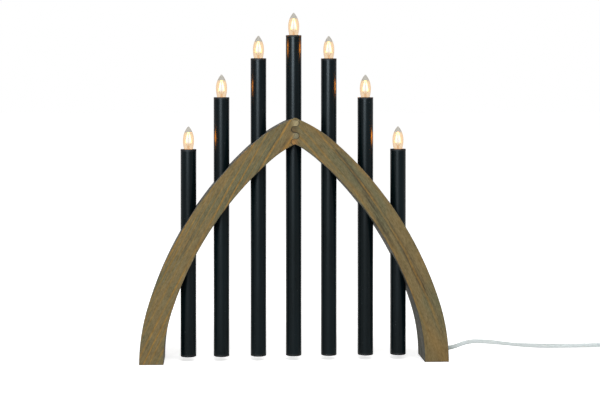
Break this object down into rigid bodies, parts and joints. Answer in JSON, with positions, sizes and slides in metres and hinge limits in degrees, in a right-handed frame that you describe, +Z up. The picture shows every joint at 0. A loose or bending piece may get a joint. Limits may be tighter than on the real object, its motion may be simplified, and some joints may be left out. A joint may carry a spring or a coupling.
{
  "type": "electric candle arch",
  "caption": "Free-standing candle arch: curved wooden arms in a pointed arch, upright black tubes of stepped heights through them, clear candle bulbs on top, flat white lead.",
  "frame": {"origin": "on the floor, midway between the two feet and between the front and back faces", "axes": "+X to the right seen from the front, +Y to the back, +Z up"},
  "size_m": [0.7365, 0.1392, 0.4424],
  "materials": {
    "stained_wood": "open-grained stained board, matt",
    "black_tube": "satin black",
    "black_plastic": "matt black moulding",
    "brass": "plain",
    "bulb_glass": "clear",
    "stem_glass": "clear, with nickel wires",
    "filament": "glowing",
    "wire_sheath": "white sheath",
    "white_cable": "white sheath, soft",
    "white_plug": "white moulding",
    "nickel": "nickel plate"
  },
  "bodies": {
    "arch": {"left_arm": "stained_wood", "right_arm": "stained_wood", "tube_1": "black_tube", "tube_2": "black_tube", "tube_3": "black_tube", "tube_4": "black_tube", "tube_5": "black_tube", "tube_6": "black_tube", "tube_7": "black_tube", "lampholder_1": "black_plastic", "lampholder_2": "black_plastic", "lampholder_3": "black_plastic", "lampholder_4": "black_plastic", "lampholder_5": "black_plastic", "lampholder_6": "black_plastic", "lampholder_7": "black_plastic", "end_plugs": "black_plastic", "socket_shells": "brass", "centre_contacts": "brass", "lamp_leads": "wire_sheath", "wiring": "wire_sheath", "channel_strip_left": "stained_wood", "channel_strip_right": "stained_wood", "cord_bushing": "black_plastic", "cord": "white_cable", "cord_coil": "white_cable", "cord_tail": "white_cable", "coil_tie": "black_plastic", "plug_body": "white_plug", "plug_pins": "nickel"},
    "bulb_1_cap": {"bulb_cap_1": "nickel"},
    "bulb_1": {"bulb_glass_1": "bulb_glass", "bulb_stem_1": "stem_glass", "filament_1": "filament"},
    "bulb_2_cap": {"bulb_cap_2": "nickel"},
    "bulb_2": {"bulb_glass_2": "bulb_glass", "bulb_stem_2": "stem_glass", "filament_2": "filament"},
    "bulb_3_cap": {"bulb_cap_3": "nickel"},
    "bulb_3": {"bulb_glass_3": "bulb_glass", "bulb_stem_3": "stem_glass", "filament_3": "filament"},
    "bulb_4_cap": {"bulb_cap_4": "nickel"},
    "bulb_4": {"bulb_glass_4": "bulb_glass", "bulb_stem_4": "stem_glass", "filament_4": "filament"},
    "bulb_5_cap": {"bulb_cap_5": "nickel"},
    "bulb_5": {"bulb_glass_5": "bulb_glass", "bulb_stem_5": "stem_glass", "filament_5": "filament"},
    "bulb_6_cap": {"bulb_cap_6": "nickel"},
    "bulb_6": {"bulb_glass_6": "bulb_glass", "bulb_stem_6": "stem_glass", "filament_6": "filament"},
    "bulb_7_cap": {"bulb_cap_7": "nickel"},
    "bulb_7": {"bulb_glass_7": "bulb_glass", "bulb_stem_7": "stem_glass", "filament_7": "filament"}
  },
  "joints": [
    {"name": "bulb_1_lift", "type": "slide", "parent": "arch", "child": "bulb_1_cap", "axis": [0, 0, 1], "range_m": [0, 0.00814]},
    {"name": "bulb_1_turn", "type": "hinge", "parent": "bulb_1_cap", "child": "bulb_1", "pos_m": [-0.134, 0, 0.2685], "axis": [0, 0, 1], "continuous": true},
    {"name": "bulb_2_lift", "type": "slide", "parent": "arch", "child": "bulb_2_cap", "axis": [0, 0, 1], "range_m": [0, 0.00814]},
    {"name": "bulb_2_turn", "type": "hinge", "parent": "bulb_2_cap", "child": "bulb_2", "pos_m": [-0.092, 0, 0.3345], "axis": [0, 0, 1], "continuous": true},
    {"name": "bulb_3_lift", "type": "slide", "parent": "arch", "child": "bulb_3_cap", "axis": [0, 0, 1], "range_m": [0, 0.00814]},
    {"name": "bulb_3_turn", "type": "hinge", "parent": "bulb_3_cap", "child": "bulb_3", "pos_m": [-0.045, 0, 0.384], "axis": [0, 0, 1], "continuous": true},
    {"name": "bulb_4_lift", "type": "slide", "parent": "arch", "child": "bulb_4_cap", "axis": [0, 0, 1], "range_m": [0, 0.00814]},
    {"name": "bulb_4_turn", "type": "hinge", "parent": "bulb_4_cap", "child": "bulb_4", "pos_m": [0, 0, 0.4135], "axis": [0, 0, 1], "continuous": true},
    {"name": "bulb_5_lift", "type": "slide", "parent": "arch", "child": "bulb_5_cap", "axis": [0, 0, 1], "range_m": [0, 0.00814]},
    {"name": "bulb_5_turn", "type": "hinge", "parent": "bulb_5_cap", "child": "bulb_5", "pos_m": [0.045, 0, 0.384], "axis": [0, 0, 1], "continuous": true},
    {"name": "bulb_6_lift", "type": "slide", "parent": "arch", "child": "bulb_6_cap", "axis": [0, 0, 1], "range_m": [0, 0.00814]},
    {"name": "bulb_6_turn", "type": "hinge", "parent": "bulb_6_cap", "child": "bulb_6", "pos_m": [0.092, 0, 0.3345], "axis": [0, 0, 1], "continuous": true},
    {"name": "bulb_7_lift", "type": "slide", "parent": "arch", "child": "bulb_7_cap", "axis": [0, 0, 1], "range_m": [0, 0.00814]},
    {"name": "bulb_7_turn", "type": "hinge", "parent": "bulb_7_cap", "child": "bulb_7", "pos_m": [0.134, 0, 0.2685], "axis": [0, 0, 1], "continuous": true}
  ],
  "couplings": [
    {"joint": "bulb_1_turn", "follows": "bulb_1_lift", "rad_per_m": 3471.4},
    {"joint": "bulb_2_turn", "follows": "bulb_2_lift", "rad_per_m": 3471.4},
    {"joint": "bulb_3_turn", "follows": "bulb_3_lift", "rad_per_m": 3471.4},
    {"joint": "bulb_4_turn", "follows": "bulb_4_lift", "rad_per_m": 3471.4},
    {"joint": "bulb_5_turn", "follows": "bulb_5_lift", "rad_per_m": 3471.4},
    {"joint": "bulb_6_turn", "follows": "bulb_6_lift", "rad_per_m": 3471.4},
    {"joint": "bulb_7_turn", "follows": "bulb_7_lift", "rad_per_m": 3471.4}
  ]
}
